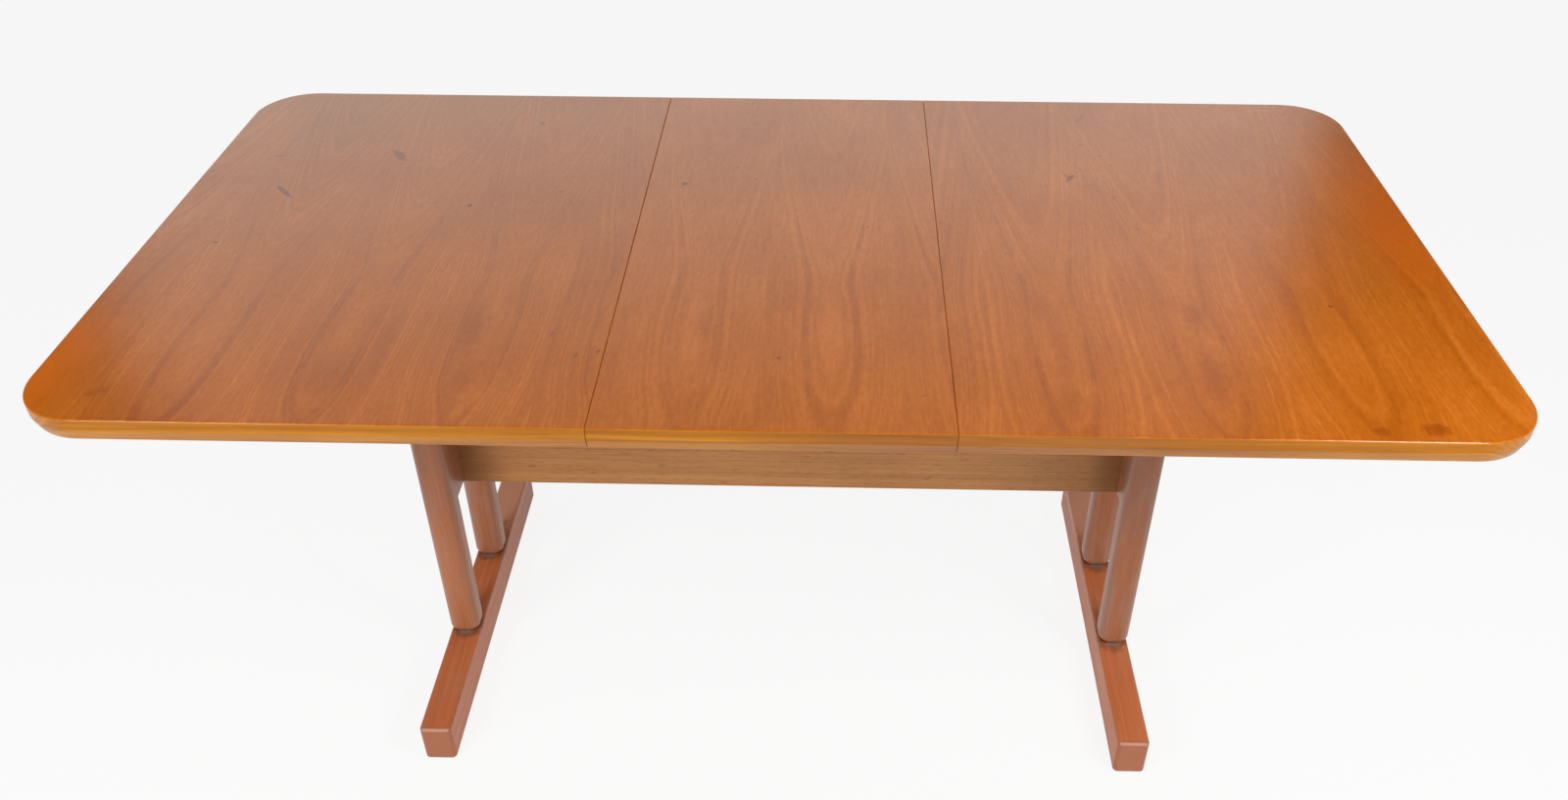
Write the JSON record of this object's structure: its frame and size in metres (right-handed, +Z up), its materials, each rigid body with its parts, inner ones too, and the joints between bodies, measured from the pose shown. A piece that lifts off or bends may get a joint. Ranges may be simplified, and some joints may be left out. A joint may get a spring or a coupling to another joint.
{
  "type": "extending dining table",
  "caption": "Oblong teak dining table with rounded corners and a lift-out centre leaf, on a trestle base of paired columns, long feet and one stretcher.",
  "frame": {"origin": "on the floor under the middle of the top, with the leaf in", "axes": "+X along the table, +Y across it, +Z up"},
  "size_m": [1.69, 0.86, 0.735],
  "materials": {
    "teak_veneer": "oiled, flame figure across the table",
    "board_core": "laminated board with a plain backing veneer",
    "teak_lipping": "oiled solid wood, straight grain along the edge",
    "teak_frame": "oiled solid wood, straight grain",
    "teak_stretcher": "oiled solid wood, straight grain",
    "beech": "planed and waxed",
    "plated_steel": "dull zinc plating",
    "glide_plastic": "matte"
  },
  "bodies": {
    "base": {"barrel_nuts": "plated_steel", "bearer_left": "teak_frame", "bearer_right": "teak_frame", "bearer_screws": "plated_steel", "column_left_back": "teak_frame", "column_left_front": "teak_frame", "column_right_back": "teak_frame", "column_right_front": "teak_frame", "cross_rail_dowels": "beech", "cross_rail_left": "teak_frame", "cross_rail_right": "teak_frame", "foot_glides": "glide_plastic", "foot_left": "teak_frame", "foot_right": "teak_frame", "rail_tie": "beech", "slide_rail_back": "beech", "slide_rail_front": "beech", "stop_pins": "plated_steel", "stretcher": "teak_stretcher", "stretcher_bolts": "plated_steel", "tie_screws": "plated_steel"},
    "left_half": {"left_panel": "board_core", "left_veneer": "teak_veneer", "left_end_lipping": "teak_lipping", "left_front_lipping": "teak_lipping", "left_back_lipping": "teak_lipping", "left_runner_front": "beech", "left_runner_back": "beech", "left_batten": "beech", "left_screws": "plated_steel", "left_pegs": "beech", "left_hook_pivots": "plated_steel"},
    "right_half": {"right_panel": "board_core", "right_veneer": "teak_veneer", "right_end_lipping": "teak_lipping", "right_front_lipping": "teak_lipping", "right_back_lipping": "teak_lipping", "right_runner_front": "beech", "right_runner_back": "beech", "right_batten": "beech", "right_screws": "plated_steel", "right_pegs": "beech", "right_keepers": "plated_steel"},
    "leaf": {"leaf_panel": "board_core", "leaf_veneer": "teak_veneer", "leaf_front_lipping": "teak_lipping", "leaf_back_lipping": "teak_lipping", "leaf_keepers": "plated_steel", "leaf_hook_pivots": "plated_steel"},
    "left_hook_front_body": {"left_hook_front": "plated_steel"},
    "left_hook_back_body": {"left_hook_back": "plated_steel"},
    "leaf_hook_front_body": {"leaf_hook_front": "plated_steel"},
    "leaf_hook_back_body": {"leaf_hook_back": "plated_steel"}
  },
  "joints": [
    {"name": "left_half_slide", "type": "slide", "parent": "base", "child": "left_half", "axis": [-1, 0, 0], "range_m": [0, 0.025]},
    {"name": "right_half_slide", "type": "slide", "parent": "base", "child": "right_half", "axis": [1, 0, 0], "range_m": [0, 0.025]},
    {"name": "leaf_lift", "type": "slide", "parent": "base", "child": "leaf", "axis": [0, 0, 1], "range_m": [0, 0.25]},
    {"name": "left_hook_front_turn", "type": "hinge", "parent": "left_half", "child": "left_hook_front_body", "pos_m": [-0.252, -0.3, 0.71125], "axis": [0, 0, -1], "range_deg": [-90, 0]},
    {"name": "left_hook_back_turn", "type": "hinge", "parent": "left_half", "child": "left_hook_back_body", "pos_m": [-0.252, 0.3, 0.71125], "axis": [0, 0, 1], "range_deg": [-90, 0]},
    {"name": "leaf_hook_front_turn", "type": "hinge", "parent": "leaf", "child": "leaf_hook_front_body", "pos_m": [0.152, -0.3, 0.71125], "axis": [0, 0, -1], "range_deg": [-90, 0]},
    {"name": "leaf_hook_back_turn", "type": "hinge", "parent": "leaf", "child": "leaf_hook_back_body", "pos_m": [0.152, 0.3, 0.71125], "axis": [0, 0, 1], "range_deg": [-90, 0]}
  ]
}
